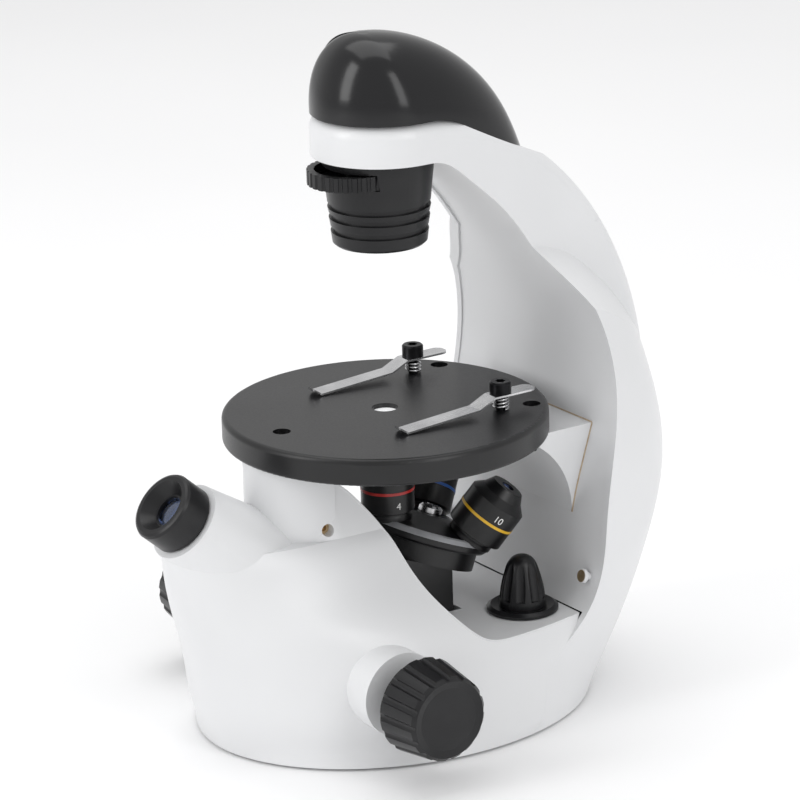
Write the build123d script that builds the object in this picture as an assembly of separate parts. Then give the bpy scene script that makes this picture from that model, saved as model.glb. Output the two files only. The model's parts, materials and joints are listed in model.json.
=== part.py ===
from build123d import *
from math import atan2, cos, degrees, pi, radians, sin, sqrt, tan

# Inverted microscope, millimetres. +Z is up, -Y is the eyepiece side, +X is the user's right.
# The origin lies on the table, under the optical axis. The arm reaches as far behind it
# as the eyepiece reaches in front of it.

# Walls and clearances
wall = 3.0
running_gap = 0.05
free_gap = 0.4
screw_gap = 0.1
past = 10.0
space = 400.0

# Base: an oval tub, wider at the foot, with a flat deck
foot_gap = 1.2
foot_radius = 7.0
foot_chamfer = 0.8
foot_x = 38.0
foot_y = 52.0
base_half_width = 71.2
base_half_length = 87.5
base_centre = 0.5
base_squareness = 2.0
deck_height = 42.0
deck_thickness = 2.5
deck_half_width = 62.5
deck_front = -95.5
deck_rear = 109.0
deck_widest = 3.0
arm_deck_widest = 12.0
deck_lean = 1.1
deck_squareness = 2.6
deck_roll_squareness = 2.3
deck_tuck = 1.7
tub_levels = (0.0, 0.36, 0.7)

# Skirt above the deck: rise over the deck, half width, widest place and front of each section
skirt_sections = (
    (10.0, 54.5, -8.0, -99.5),
    (21.0, 43.0, -20.0, -103.2),
    (34.0, 32.0, -30.0, -106.5),
)
skirt_rise = 46.0
skirt_top_half_width = 24.5
skirt_top_front = -108.3
skirt_rear = 90.0

# Scoop behind the post: points of its slope, as y and rise over the deck
scoop_points = ((-28.0, 58.5), (-17.0, 42.0), (-10.0, 22.0), (2.0, 5.5))
scoop_rise = 69.0
scoop_run = (1.0, -0.55)
scoop_end = 20.0
well_front = -12.0
well_rear = 22.0

# Floor plate, its screws and the circuit board
plate_recess = 0.8
plate_gap = 3.6
plate_thickness = 3.0
boss_radius = 5.0
boss_places = ((48.0, -10.0), (44.0, 20.0))
base_screw_radius = 1.75
base_screw_head_radius = 3.4
base_screw_head = 1.8
base_screw_bite = 10.0
board_width = 44.0
board_length = 26.0
board_thickness = 1.6
board_y = 62.0
board_rise = 5.0
board_post_x = 18.0
board_post_y = 9.0
board_post_radius = 2.5

# Arm: a rounded shell whose oval sections change with height
belly_height = 97.0
belly_half_width = 60.0
belly_widest = 58.0
belly_squareness = 3.2
chest_height = 142.0
chest_half_width = 57.5
chest_widest = 58.0
chest_rear = 113.5
chest_squareness = 2.6
crown_height = 200.0
crown_half_width = 52.0
crown_widest = 48.0
crown_rear = 95.0
crown_squareness = 2.4
neck_half_width = 29.5
neck_edge_radius = 6.0
arch_reach = 114.3
arch_centre_z = 120.0
shoulder_slope = 0.865

# Front edge of the arm: y and drop under the head, then y and rise over the deck
edge_start = 6.0
throat_points = ((22.3, 7.8), (36.0, 19.9))
shoulder_point = (56.0, 45.4)
shoulder_run = (16.0, -26.0)
chest_points = ((71.0, 126.0), (76.3, 94.0), (68.5, 40.0))
edge_deck_y = 58.0
edge_hip = (35.5, 18.0)
edge_toe_y = 10.0
edge_toe_run = (-24.0, -16.0)

# Crease where the neck rises out of the shoulders: y and drop under the top of the head
crease_points = ((40.0, 57.9), (56.0, 60.4), (69.0, 64.4), (84.0, 75.4), (97.0, 89.4), (112.0, 113.9), (122.0, 133.4))

# Inner panel and its screws
panel_recess = 0.6
panel_thickness = 2.4
panel_screw_x = 51.0
panel_screw_y = 63.0
panel_screw_rise = 14.0
panel_screw_radius = 1.6
panel_screw_length = 9.0
panel_head_radius = 3.0
panel_head_height = 1.6
panel_lean = 15.0
lug_width = 14.0
lug_height = 10.0
key_radius = 1.5
key_depth = 1.0

# Head and cap
head_centre = 2.5
head_bottom = 238.4
head_top = 255.4
wire_hole_radius = 8.0
cap_front = 29.0
cap_half_width = 29.2
cap_top = 288.4
cap_peak_y = -6.0
cap_rear_length = 78.0
cap_rear_height = 90.0
cap_roundness = 2.15
cap_squareness = 2.2
cap_skirt_drops = (32.0, 16.0)
cap_ring_turns = (0.0, 20.0, 38.0, 54.0, 68.0, 79.0, 86.0)
cap_wall = 2.5

# Seam under the cap: y and drop under the top of the head
seam_start = 8.0
seam_points = ((25.6, 5.4), (50.0, 17.4))
seam_end = (72.0, 27.0)
seam_end_run = (2.0, -0.9)

# Front post and its grub screws
post_radius = 22.0
post_centre = -44.0
post_flat = -39.6
post_foot_drop = 14.0
post_foot_half_width = 31.0
post_waist_rise = 12.0
post_waist_half_width = 20.8
post_cheek_rise = 25.0
post_cheek_half_width = 19.5
post_foot_widest = -38.0
post_foot_front = -62.0
post_foot_rear = 60.0
post_foot_squareness = 3.0
post_screw_z = 92.0
post_screw_radius = 2.6
post_screw_sink = 15.0
post_screw_length = 8.0

# Snout and eyepiece
eye_angle = 41.7
eye_face_y = -108.5
eye_face_z = 110.85
eyepiece_radius = 14.65
eyepiece_head = 14.0
eyepiece_rim_drop = 0.5
eyepiece_rim_step = 0.6
eyepiece_round = 1.6
eyepiece_heel = 0.8
eyepiece_mouth = 3.4
eyepiece_plug_radius = 11.6
eyepiece_plug_length = 32.0
eyepiece_wall = 2.0
tube_wall = 2.0
tube_length = 40.0
snout_radius = 16.8
snout_root_radius = 26.0
snout_length = 50.0
eye_lens_radius = 6.5
eye_lens_depth = 5.0
eye_lens_thickness = 3.0
eye_lens_sag = 1.2
eye_lens_curve = 16.0
field_lens_thickness = 4.0
field_lens_inset = 3.0

# Stage
stage_radius = 67.5
stage_top = 129.7
stage_thickness = 11.3
stage_top_round = 2.2
stage_under_round = 1.6
stage_window_radius = 5.5
window_glass_radius = 9.0
window_glass_thickness = 1.5
window_lip = 2.0
stage_bolt_front = 50.4
stage_bolt_x = 33.7
stage_bolt_y = 50.1
stage_bolt_head_radius = 3.6
stage_bolt_radius = 1.8
stage_bolt_sink = 4.5
stage_bolt_head = 3.0
stage_bolt_bite = 9.0
bolt_key_radius = 1.8
bolt_key_depth = 0.8

# Bracket under the rear of the stage
bracket_half_width = 41.5
bracket_side_slope = 8.0
bracket_bottom = 68.0
bracket_arc_y = 22.0
bracket_arc_z = 74.0
bracket_arc_radius = 47.0

# Specimen clips
clip_x = 32.1
clip_y = 35.7
clip_rise = 6.3
clip_thickness = 0.8
clip_width = 8.0
clip_tail = 16.0
clip_bend = 5.0
clip_step = 13.0
clip_step_rise = 2.6
clip_reach = 51.5
clip_lift = 3.2
clip_tip_rise = 2.2
clip_corner = 3.5
clip_screw_radius = 2.0
clip_screw_stop = 2.0
clip_head_radius = 4.5
clip_head_height = 5.2
clip_head_round = 0.6
clip_key_radius = 2.2
clip_key_depth = 2.5
spring_wire = 0.5
spring_turns = 3.5
spring_radius = 3.0

# Lamp condenser and disc diaphragm
barrel_top_radius = 23.3
barrel_bottom_radius = 19.3
barrel_bottom = 200.8
barrel_lip = 1.0
barrel_bore = 16.0
barrel_web_bottom = 224.0
barrel_web = 3.4
barrel_grooves = (6.7, 12.4, 16.8)
groove_height = 2.2
groove_depth = 1.3
spigot_radius = 15.0
spigot_wall = 2.0
spigot_rise = 5.0
wheel_radius = 18.4
wheel_thickness = 6.0
wheel_rise = 0.6
wheel_centre = 12.6
wheel_teeth = 30
wheel_notch_radius = 1.0
wheel_notch_out = 0.35
wheel_rim = 3.0
wheel_web = 2.0
wheel_hub_radius = 3.2
wheel_pin_radius = 1.5
aperture_radii = (4.2, 3.3, 2.5, 1.8, 1.1)
collector_inset = 1.5
collector_edge = 2.5
collector_sag = 4.0
collector_curve = 34.0
emitter_radius = 3.5
emitter_height = 1.5
emitter_dome = 2.5

# Nosepiece and objectives
turret_lean = 21.5
turret_y = 19.0
turret_z = 75.0
turret_radius = 27.5
turret_rim = 3.2
turret_edge = 1.0
turret_chamfer = 1.6
turret_depth = 6.0
turret_pin_radius = 3.0
turret_hub_radius = 9.0
turret_hub_top = 4.4
bolt_head_radius = 5.0
bolt_head_height = 3.2
bolt_head_round = 1.0
bolt_slot_width = 1.2
bolt_slot_depth = 0.8
nose_base_radius = 24.0
nose_base_thickness = 7.5
light_radius = 6.5
objective_seat_radius = 10.4
collar_height = 1.6
waist_top = 3.0
shoulder_height = 0.8
chamfer_share = 0.26
nose_share = 0.14
nose_flare = 2.2
lens_radius = 3.0
lens_thickness = 2.0
lens_sink = 0.6
band_low = 12.0
band_height = 1.2
band_depth = 0.6
band_stand = 0.15

# Each objective: its name, barrel radius, waist radius, length and tip radius
objectives = (
    ("4x", 11.2, 9.8, 29.0, 7.0),
    ("10x", 12.5, 10.2, 27.5, 7.0),
    ("40x", 11.6, 10.2, 33.0, 5.0),
)

# Focus drive
shaft_y = -38.0
shaft_z = 32.5
shaft_radius = 3.0
shaft_end = 94.0
bush_radius = 5.0
bush_inner_end = 54.0
tooth_module = 0.8
pinion_teeth = 12
pinion_width = 7.0
pinion_root = 1.05
pressure_angle = 20.0
tooth_share = 0.4
tooth_tip = 0.56
tooth_root = 0.8
rack_x = 22.0
rack_width = 6.0
rack_depth = 5.0
rack_spare = 8.0
carriage_down = 7.0
carriage_up = 2.0
rod_radius = 3.0
rod_x = 22.0
rod_y = 25.0
cheek_inner = 14.0
cheek_thickness = 6.0
cheek_front = -8.0
bar_front = 18.0
bar_rear = 32.0
bar_half_width = 29.0
bar_height = 14.0
carriage_bottom = 14.0
rack_arm_inset = 2.0
knob_boss_radius = 17.5
knob_boss_start = 40.0
knob_boss_face = 64.5
knob_hub_radius = 9.0
knob_hub_length = 10.0
knob_flare = 3.5
knob_flare_step = 3.0
knob_length = 20.0
knob_radius = 20.0
knob_face_radius = 17.6
knob_face_round = 1.5
knob_face_rim = 4.5
knob_face_sink = 0.8
knob_flutes = 16
flute_radius = 1.8
flute_depth = 1.2

# Mirror
mirror_half_width = 12.0
mirror_half_length = 13.5
mirror_thickness = 2.5

# Dimmer
dimmer_x = 36.0
dimmer_y = 42.0
dimmer_skirt_radius = 15.0
dimmer_skirt_edge = 2.2
dimmer_skirt_lip = 1.6
dimmer_dish = 1.4
dimmer_radius = 9.6
dimmer_shoulder_radius = 7.2
dimmer_shoulder_drop = 7.0
dimmer_height = 24.0
dimmer_flutes = 9
dimmer_flute_radius = 2.6
dimmer_flute_depth = 0.9
dimmer_flute_lean = 11.0
dimmer_shaft_radius = 3.0
dimmer_shaft_rise = 14.0
dimmer_shaft_sink = 2.0
pot_side = 17.0
pot_height = 9.0
pot_bush_radius = 4.5

# Power socket in the back of the arm
socket_height = 20.0
socket_radius = 5.5
socket_wall = 2.0
socket_pin_radius = 1.0
socket_length = 14.0
socket_depth = 9.0
socket_y = 93.0

# Worked out from the sizes above
stage_under = stage_top - stage_thickness
plate_bottom = foot_gap + plate_recess
plate_top = plate_bottom + plate_thickness
board_bottom = plate_top + board_rise
deck_under = deck_height - deck_thickness
skirt_top = deck_height + skirt_rise
eye_turn = radians(eye_angle)
eye_dir = Vector(0, -cos(eye_turn), sin(eye_turn))
snout_end = Vector(0, eye_face_y, eye_face_z) - eye_dir * eyepiece_head
eye_plane = Plane(origin=snout_end, x_dir=(1, 0, 0), z_dir=eye_dir)
rim_radius = eyepiece_radius - eyepiece_rim_step
rear_reach = -eye_face_y - eyepiece_rim_drop * cos(eye_turn) + rim_radius * sin(eye_turn)
tube_radius = eyepiece_plug_radius + running_gap + tube_wall
mirror_middle = Vector(0, 0, snout_end.Z + snout_end.Y * tan(eye_turn))
mirror_normal = (eye_dir + Vector(0, 0, 1)).normalized()
mirror_along = Vector(0, mirror_normal.Z, -mirror_normal.Y)
lean_turn = radians(turret_lean)
turret_pitch = turret_y / cos(lean_turn)
turret_plane = Plane(
    origin=(0, turret_y, turret_z),
    x_dir=(1, 0, 0),
    z_dir=(0, sin(lean_turn), cos(lean_turn)),
)
nose_base_top = -turret_depth - free_gap
nose_base_bottom = nose_base_top - nose_base_thickness
tooth_pitch = pi * tooth_module
pitch_radius = tooth_module * pinion_teeth / 2
rack_rear = shaft_y + pitch_radius + rack_depth
knob_back = knob_boss_face + free_gap + knob_hub_length
knob_wide = knob_back + knob_flare
knob_face = knob_wide + knob_length
barrel_top = head_bottom + panel_recess
spigot_top = barrel_top + spigot_rise
wheel_bottom = barrel_web_bottom + barrel_web + wheel_rise
panel_depth = panel_recess + panel_thickness
well_half_width = cheek_inner + cheek_thickness + free_gap
dimmer_shaft_top = deck_height + dimmer_shaft_rise


def save(name, shape):
    export_step(shape, "parts/" + name + ".step")


def along_x(face, half_width):
    # Extrudes a drawing made in the side plane (y across, z up) to both sides of the middle.
    return extrude(Plane.YZ * face, half_width, both=True)


def box_between(x0, x1, y0, y1, z0, z1):
    middle = Pos((x0 + x1) / 2, (y0 + y1) / 2, (z0 + z1) / 2)
    return middle * Box(x1 - x0, y1 - y0, z1 - z0)


def layer(z0, z1):
    return box_between(-space, space, -space, space, z0, z1)


def rod(x, y, z0, z1, radius):
    return Pos(x, y, (z0 + z1) / 2) * Cylinder(radius, z1 - z0)


def rod_x_axis(x0, x1, y, z, radius):
    return Pos((x0 + x1) / 2, y, z) * Rot(0, 90, 0) * Cylinder(radius, x1 - x0)


def key_hole(radius, top, depth):
    # A hexagon socket sunk from the top of a screw that stands along +Z.
    return Pos(0, 0, top - depth) * extrude(RegularPolygon(radius, 6), depth + past)


def spun(points):
    # A closed outline of (radius, height) points turned about the vertical axis.
    outline = make_face(Polyline(*points, close=True))
    return revolve(Plane.XZ * outline, Axis.Z)


def mirrored(shape):
    return mirror(shape, about=Plane.YZ)


def together(shapes):
    whole = shapes[0]
    for shape in shapes[1:]:
        whole += shape
    return whole


def both_sides(shape):
    return shape + mirrored(shape)


def shifted(points, level, way):
    # Side-view points given by their drop under a level (way -1) or their rise over it (way +1).
    return [(y, level + way * height) for y, height in points]


def ring_outline(half_width, centre, front, rear, squareness):
    # A closed oval: an ellipse in front of its widest line and a squarer oval behind it.
    steps = 8
    front_points = []
    rear_points = []
    for step in range(steps + 1):
        turn = pi * step / steps
        sideways = cos(turn)
        front_points.append((half_width * sideways, centre - (centre - front) * sin(turn)))
        side = abs(sideways) ** (2 / squareness) * (1 if sideways > 0 else -1)
        depth = abs(sin(turn)) ** (2 / squareness)
        rear_points.append((half_width * side, centre + (rear - centre) * depth))
    front_half = Spline(*front_points, tangents=[(0, -1), (0, 1)])
    rear_half = Spline(*rear_points, tangents=[(0, 1), (0, -1)])
    return make_face([front_half, rear_half])


def stacked(rings, inset):
    # A smooth form through ovals at rising heights, drawn in by an even wall where asked.
    sections = []
    for height, half_width, widest, front, rear, squareness in rings:
        oval = ring_outline(half_width - inset, widest, front + inset, rear - inset, squareness)
        sections.append(Pos(0, 0, height) * oval)
    return loft(sections)


base_front = base_centre - base_half_length
base_rear = base_centre + base_half_length
base_ring = (foot_gap, base_half_width, base_centre, base_front, base_rear, base_squareness)


def body_form(inset):
    # The outside of the arm, carried on down to the foot of the base.
    rings = (
        base_ring,
        (deck_height, deck_half_width, arm_deck_widest, deck_front, deck_rear, deck_squareness),
        (belly_height, belly_half_width, belly_widest, deck_front, rear_reach, belly_squareness),
        (chest_height, chest_half_width, chest_widest, deck_front, chest_rear, chest_squareness),
        (crown_height, crown_half_width, crown_widest, deck_front, crown_rear, crown_squareness),
    )
    return stacked(rings, inset)


def base_form(inset):
    # The tub rounding over at the deck and drawing in to the foot of the post and the snout.
    rings = []
    for level in tub_levels:
        share = level * (3 - level) / 2
        rings.append((
            foot_gap + (deck_height - foot_gap) * level,
            base_half_width + (deck_half_width - base_half_width) * share,
            base_centre + (deck_widest - base_centre) * share,
            base_front + (deck_front - base_front) * share,
            base_rear + (deck_rear - base_rear) * share,
            base_squareness + (deck_squareness - base_squareness) * share,
        ))
    rings.append((deck_height, deck_half_width - deck_tuck, deck_widest, deck_front - deck_lean,
                  deck_rear - deck_tuck, deck_roll_squareness))
    for rise, half_width, widest, front in skirt_sections:
        rear = deck_rear + (skirt_rear - deck_rear) * rise / skirt_rise
        rings.append((deck_height + rise, half_width, widest, front, rear, deck_roll_squareness))
    rings.append((skirt_top, skirt_top_half_width, post_foot_widest, skirt_top_front, skirt_rear,
                  deck_roll_squareness))
    return stacked(rings, inset)


def front_edge(forward, up):
    # Everything behind and above the front edge of the arm, from the head down to the base.
    throat = shifted(throat_points, head_bottom, -1)
    turn_point = (shoulder_point[0], head_bottom - shoulder_point[1])
    chest = shifted(chest_points, deck_height, 1)
    toe = (edge_toe_y, foot_gap - past)
    hip = (edge_hip[0], deck_height - edge_hip[1])
    neck = Spline((edge_start, head_bottom), *throat, turn_point, tangents=[(1, 0), shoulder_run])
    back = Spline(turn_point, *chest, (edge_deck_y, deck_height), hip, toe, tangents=[shoulder_run, edge_toe_run])
    outer = Polyline(
        toe,
        (space, toe[1]),
        (space, space),
        (-space, space),
        (-space, head_bottom),
        (edge_start, head_bottom),
    )
    return Pos(-forward, up) * make_face([neck, back, outer])


def behind_edge(recess):
    return along_x(front_edge(-recess, recess), space)


def arch_form(inset):
    # The narrow neck and the head: an arched strip with a round front.
    arc = EllipticalCenterArc(
        (0, arch_centre_z),
        arch_reach - inset,
        head_top - arch_centre_z - inset,
        start_angle=0,
        arc_size=90,
    )
    sides = Polyline(
        arc @ 1,
        (-arch_reach, head_top - inset),
        (-arch_reach, arch_centre_z),
        arc @ 0,
    )
    half_width = neck_half_width - inset
    block = along_x(make_face([arc, sides]), half_width)
    plan = Circle(half_width) + Pos(0, arch_reach) * Rectangle(2 * half_width, 2 * arch_reach)
    block &= Pos(0, head_centre, 0) * extrude(plan, space)
    round_edges = block.edges().filter_by(GeomType.ELLIPSE)
    return fillet(round_edges, neck_edge_radius - inset)


def above_cap_seam(drop):
    # Everything above the line where the cap meets the head and runs down along the arch.
    level = head_top - drop
    end = (seam_end[0], level - seam_end[1])
    line = shifted(seam_points, level, -1)
    seam = Spline((seam_start, level), *line, end, tangents=[(1, 0), seam_end_run])
    outer = Polyline(end, (space, end[1]), (space, space), (-space, space), (-space, level), (seam_start, level))
    return along_x(make_face([seam, outer]), space)


def shoulder_cut(inset):
    # What lies above the sloping shoulders on both sides of the neck.
    line = shifted(crease_points, head_top, -1)
    low = line[-1]
    high = line[0]
    outer = Polyline(low, (space, low[1]), (space, space), (high[0], space), high)
    above = Pos(0, -inset) * make_face([Spline(*line), outer])
    start = Pos(neck_half_width - inset, 0, 0) * (Plane.YZ * above)
    right = extrude(start, 2 * base_half_width, dir=(1, 0, -shoulder_slope))
    return both_sides(right)


def arm_form(inset):
    lower = body_form(inset) - shoulder_cut(inset)
    return lower + (arch_form(inset) - above_cap_seam(inset))


arm_inside = arm_form(wall)
arm_solid = arm_form(0) & behind_edge(0)
panel_front = behind_edge(panel_recess)
panel_behind = behind_edge(panel_depth)


def panel_screw_place():
    # Low on the panel, one on each side, square to the leaning panel.
    return Pos(panel_screw_x, panel_screw_y, deck_height + panel_screw_rise) * Rot(90 - panel_lean, 0, 0)


def arm_shell():
    shell = arm_solid - arm_inside
    lug = Pos(0, 0, -panel_screw_length / 2 - panel_thickness) * Box(lug_width, lug_height, panel_screw_length)
    shell += both_sides((panel_screw_place() * lug) & arm_solid & panel_behind)
    shell -= both_sides(panel_screw_place() * Cylinder(panel_screw_radius, 4 * panel_screw_length))
    shell -= Pos(0, rear_reach, socket_height) * Rot(90, 0, 0) * Cylinder(socket_radius, rear_reach)
    return shell - rod(0, 0, head_top - wall - past / 2, head_top + past, wire_hole_radius)


def arm_panel():
    panel = (arm_inside & panel_front) - panel_behind
    panel &= layer(deck_height, space)
    panel -= both_sides(panel_screw_place() * Cylinder(panel_screw_radius + screw_gap, 4 * panel_screw_length))
    seat = Pos(0, 0, panel_thickness) * Cylinder(panel_head_radius + screw_gap, 2 * panel_thickness)
    panel -= both_sides(panel_screw_place() * seat)
    return panel - rod(0, 0, head_bottom - past, head_bottom + past, spigot_radius + screw_gap)


def panel_screws():
    head = Pos(0, 0, panel_head_height / 2) * Cylinder(panel_head_radius, panel_head_height)
    head -= key_hole(key_radius, panel_head_height, key_depth)
    head += Pos(0, 0, -panel_screw_length / 2) * Cylinder(panel_screw_radius, panel_screw_length)
    return both_sides(panel_screw_place() * head)


def cap_form(inset):
    # A teardrop dome: blunt in front, running out along the top of the arch behind.
    height = cap_top - inset - head_top
    rings = [(-drop, 0.0) for drop in cap_skirt_drops]
    for turn in cap_ring_turns:
        rings.append((height * sin(radians(turn)), sin(radians(turn))))
    sections = []
    for rise, share in rings:
        rounding = (1 - share**cap_roundness) ** (1 / cap_roundness)
        centre = head_centre + (cap_peak_y - head_centre) * share
        nose = cap_peak_y - (cap_front - inset - head_centre + cap_peak_y) * rounding
        climb = 1 - (height - rise) / cap_rear_height
        tail = cap_peak_y + (cap_rear_length - inset) * sqrt(1 - climb**2)
        oval = ring_outline((cap_half_width - inset) * rounding, centre, nose, tail, cap_squareness)
        sections.append(Pos(0, 0, head_top + rise) * oval)
    return loft(sections)


def top_cap():
    return (cap_form(0) - cap_form(cap_wall)) & above_cap_seam(0)


def post_foot_form():
    # The flared foot that carries the post up out of the skirt.
    sides = (
        (-post_foot_drop, post_foot_half_width),
        (0.0, skirt_top_half_width),
        (post_waist_rise, post_waist_half_width),
        (post_cheek_rise, post_cheek_half_width),
    )
    rings = []
    for rise, half_width in sides:
        rings.append((skirt_top + rise, half_width, post_foot_widest, post_foot_front, post_foot_rear,
                      post_foot_squareness))
    return stacked(rings, 0)


def scoop_form():
    # The open space over the deck, under the stage and behind the post.
    start = (post_flat, deck_height + scoop_rise)
    end = (scoop_end, deck_height)
    slope = Spline(start, *shifted(scoop_points, deck_height, 1), end, tangents=[scoop_run, (1, 0)])
    outer = Polyline(end, (space, deck_height), (space, space), (post_flat, space), start)
    return along_x(make_face([slope, outer]), space)


def snout_form():
    cone = Cone(snout_root_radius, snout_radius, snout_length)
    return eye_plane * Pos(0, 0, -snout_length / 2) * cone


def post_form():
    column = Circle(post_radius) & Pos(0, post_flat - post_centre - space / 2) * Rectangle(space, space)
    start = skirt_top - 2 * post_foot_drop
    return Pos(0, post_centre, start) * extrude(column, stage_under - start)


def knob_boss():
    return both_sides(rod_x_axis(knob_boss_start, knob_boss_face, shaft_y, shaft_z, knob_boss_radius))


def post_screw_place():
    return Pos(0, post_centre, post_screw_z) * Rot(0, 90, 0)


def floor_screw_places():
    return [(side * x, y) for x, y in boss_places for side in (1, -1)]


def base_housing():
    # A hollow casting: tub, skirt, snout and post in one, with an open well under the stage.
    outside = base_form(0) + post_foot_form() + snout_form() + post_form() + knob_boss()
    outside -= scoop_form()
    outside -= behind_edge(0)
    hollow = base_form(wall) & layer(foot_gap, skirt_top - wall)
    hollow -= Pos(0, -wall, -deck_thickness) * scoop_form()
    body = outside - hollow
    for x, y in floor_screw_places():
        body += rod(x, y, plate_top, skirt_top, boss_radius) & outside
        body -= rod(x, y, plate_top - past, plate_top + base_screw_bite + free_gap, base_screw_radius)
    body -= box_between(-well_half_width, well_half_width, well_front, well_rear, shaft_z, skirt_top)
    body -= eye_plane * Pos(0, 0, -tube_length / 2) * Cylinder(tube_radius, tube_length)
    body -= rod_x_axis(-knob_face, knob_face, shaft_y, shaft_z, bush_radius)
    body -= rod(dimmer_x, dimmer_y, shaft_z, deck_height + past, pot_bush_radius)
    body -= rod(0, -stage_bolt_front, stage_under - stage_bolt_bite, stage_under + past, stage_bolt_radius)
    return body - post_screw_place() * Cylinder(post_screw_radius, 3 * post_radius)


def post_screws():
    # Two grub screws sunk in the sides of the post.
    screw = Pos(0, 0, post_screw_sink) * Cylinder(post_screw_radius, post_screw_length)
    screw -= key_hole(key_radius, post_screw_sink + post_screw_length / 2, 2 * key_depth)
    return both_sides(post_screw_place() * screw)


def base_plate():
    plate = base_form(wall + plate_gap)
    plate &= layer(plate_bottom, plate_top)
    for x, y in floor_screw_places():
        plate -= rod(x, y, 0, plate_top + past, base_screw_radius + screw_gap)
        plate -= rod(x, y, 0, plate_bottom + base_screw_head, base_screw_head_radius + screw_gap)
    for x in (-board_post_x, board_post_x):
        for y in (board_y - board_post_y, board_y + board_post_y):
            plate += rod(x, y, plate_top, board_bottom, board_post_radius)
    return plate


def base_screws():
    screws = []
    for x, y in floor_screw_places():
        head = rod(x, y, plate_bottom, plate_bottom + base_screw_head, base_screw_head_radius)
        screws.append(head + rod(x, y, plate_bottom, plate_top + base_screw_bite, base_screw_radius))
    return together(screws)


def rubber_feet():
    foot = spun([
        (0, 0),
        (foot_radius - foot_chamfer, 0),
        (foot_radius, foot_chamfer),
        (foot_radius, plate_bottom),
        (0, plate_bottom),
    ])
    return together([Pos(x, y, 0) * foot for x in (-foot_x, foot_x) for y in (-foot_y, foot_y)])


def circuit_board():
    return Pos(0, board_y, board_bottom + board_thickness / 2) * Box(board_width, board_length, board_thickness)


def power_socket():
    body = Cylinder(socket_radius, socket_length)
    mouth = Pos(0, 0, (socket_length - socket_depth) / 2)
    body -= mouth * Cylinder(socket_radius - socket_wall, socket_depth)
    body += mouth * Cylinder(socket_pin_radius, socket_depth)
    return Pos(0, socket_y, socket_height) * Rot(-90, 0, 0) * body


def mirror_glass():
    face = Plane(origin=mirror_middle, x_dir=(1, 0, 0), z_dir=mirror_normal)
    plate = Box(2 * mirror_half_width, 2 * mirror_half_length, mirror_thickness)
    return face * Pos(0, 0, -mirror_thickness / 2) * plate


def mirror_mount():
    # A wedge that carries the mirror on the base plate.
    back = mirror_middle - mirror_normal * mirror_thickness
    low = back - mirror_along * mirror_half_length
    high = back + mirror_along * mirror_half_length
    side = Polyline((low.Y, low.Z), (high.Y, high.Z), (high.Y, plate_top), (low.Y, plate_top), close=True)
    return along_x(make_face(side), mirror_half_width)


def guide_rods():
    return both_sides(rod(rod_x, rod_y, plate_top, deck_under, rod_radius))


def focus_carriage():
    # Two cheeks beside the light path, a cross bar on the guide rods and an arm to the rack.
    under_nose = turret_plane * Pos(0, 0, nose_base_bottom - space / 2) * Box(space, space, space)
    cheek = box_between(cheek_inner, cheek_inner + cheek_thickness, cheek_front, bar_front,
                        carriage_bottom, turret_z) & under_nose
    bar_top = carriage_bottom + bar_height
    bar = box_between(-bar_half_width, bar_half_width, bar_front, bar_rear, carriage_bottom, bar_top)
    arm = box_between(rack_x, rack_x + rack_width, rack_rear, bar_front,
                      carriage_bottom + rack_arm_inset, bar_top - rack_arm_inset)
    carriage = bar + arm + both_sides(cheek)
    return carriage - both_sides(rod(rod_x, rod_y, 0, bar_top + past, rod_radius + running_gap))


def gear_tooth(root_depth):
    # One straight-sided tooth drawn with its middle at the pitch line, pointing to -Y.
    half = tooth_share * tooth_pitch / 2
    tip = half - tooth_tip * tan(radians(pressure_angle))
    root = half + root_depth * tan(radians(pressure_angle))
    tooth = Polyline(
        (-tooth_tip, -tip),
        (root_depth, -root),
        (root_depth, root),
        (-tooth_tip, tip),
        close=True,
    )
    return make_face(tooth)


def focus_rack():
    pitch_y = shaft_y + pitch_radius
    low = shaft_z - carriage_up - rack_spare
    high = shaft_z + carriage_down + rack_spare
    back_depth = rack_depth - tooth_root
    outline = Pos(rack_rear - back_depth / 2, (low + high) / 2) * Rectangle(back_depth, high - low)
    first = -int((shaft_z - low) / tooth_pitch - tooth_share)
    last = int((high - shaft_z) / tooth_pitch - tooth_share)
    for step in range(first, last + 1):
        outline += Pos(pitch_y, shaft_z + step * tooth_pitch) * gear_tooth(tooth_root)
    return Pos(rack_x, 0, 0) * extrude(Plane.YZ * outline, rack_width)


def focus_pinion():
    disc = Circle(pitch_radius - tooth_root)
    tooth = Pos(pitch_radius, 0) * Rot(0, 0, 180) * gear_tooth(pinion_root)
    for step in range(pinion_teeth):
        disc += Rot(0, 0, (step + 0.5) * 360 / pinion_teeth) * tooth
    disc -= Circle(shaft_radius)
    start = rack_x + rack_width / 2 - pinion_width / 2
    return Pos(start, shaft_y, shaft_z) * extrude(Plane.YZ * disc, pinion_width)


def focus_shaft():
    return rod_x_axis(-shaft_end, shaft_end, shaft_y, shaft_z, shaft_radius)


def focus_bushes():
    bush = rod_x_axis(bush_inner_end, knob_boss_face, shaft_y, shaft_z, bush_radius)
    bush -= rod_x_axis(0, knob_face, shaft_y, shaft_z, shaft_radius + running_gap)
    return both_sides(bush)


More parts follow.
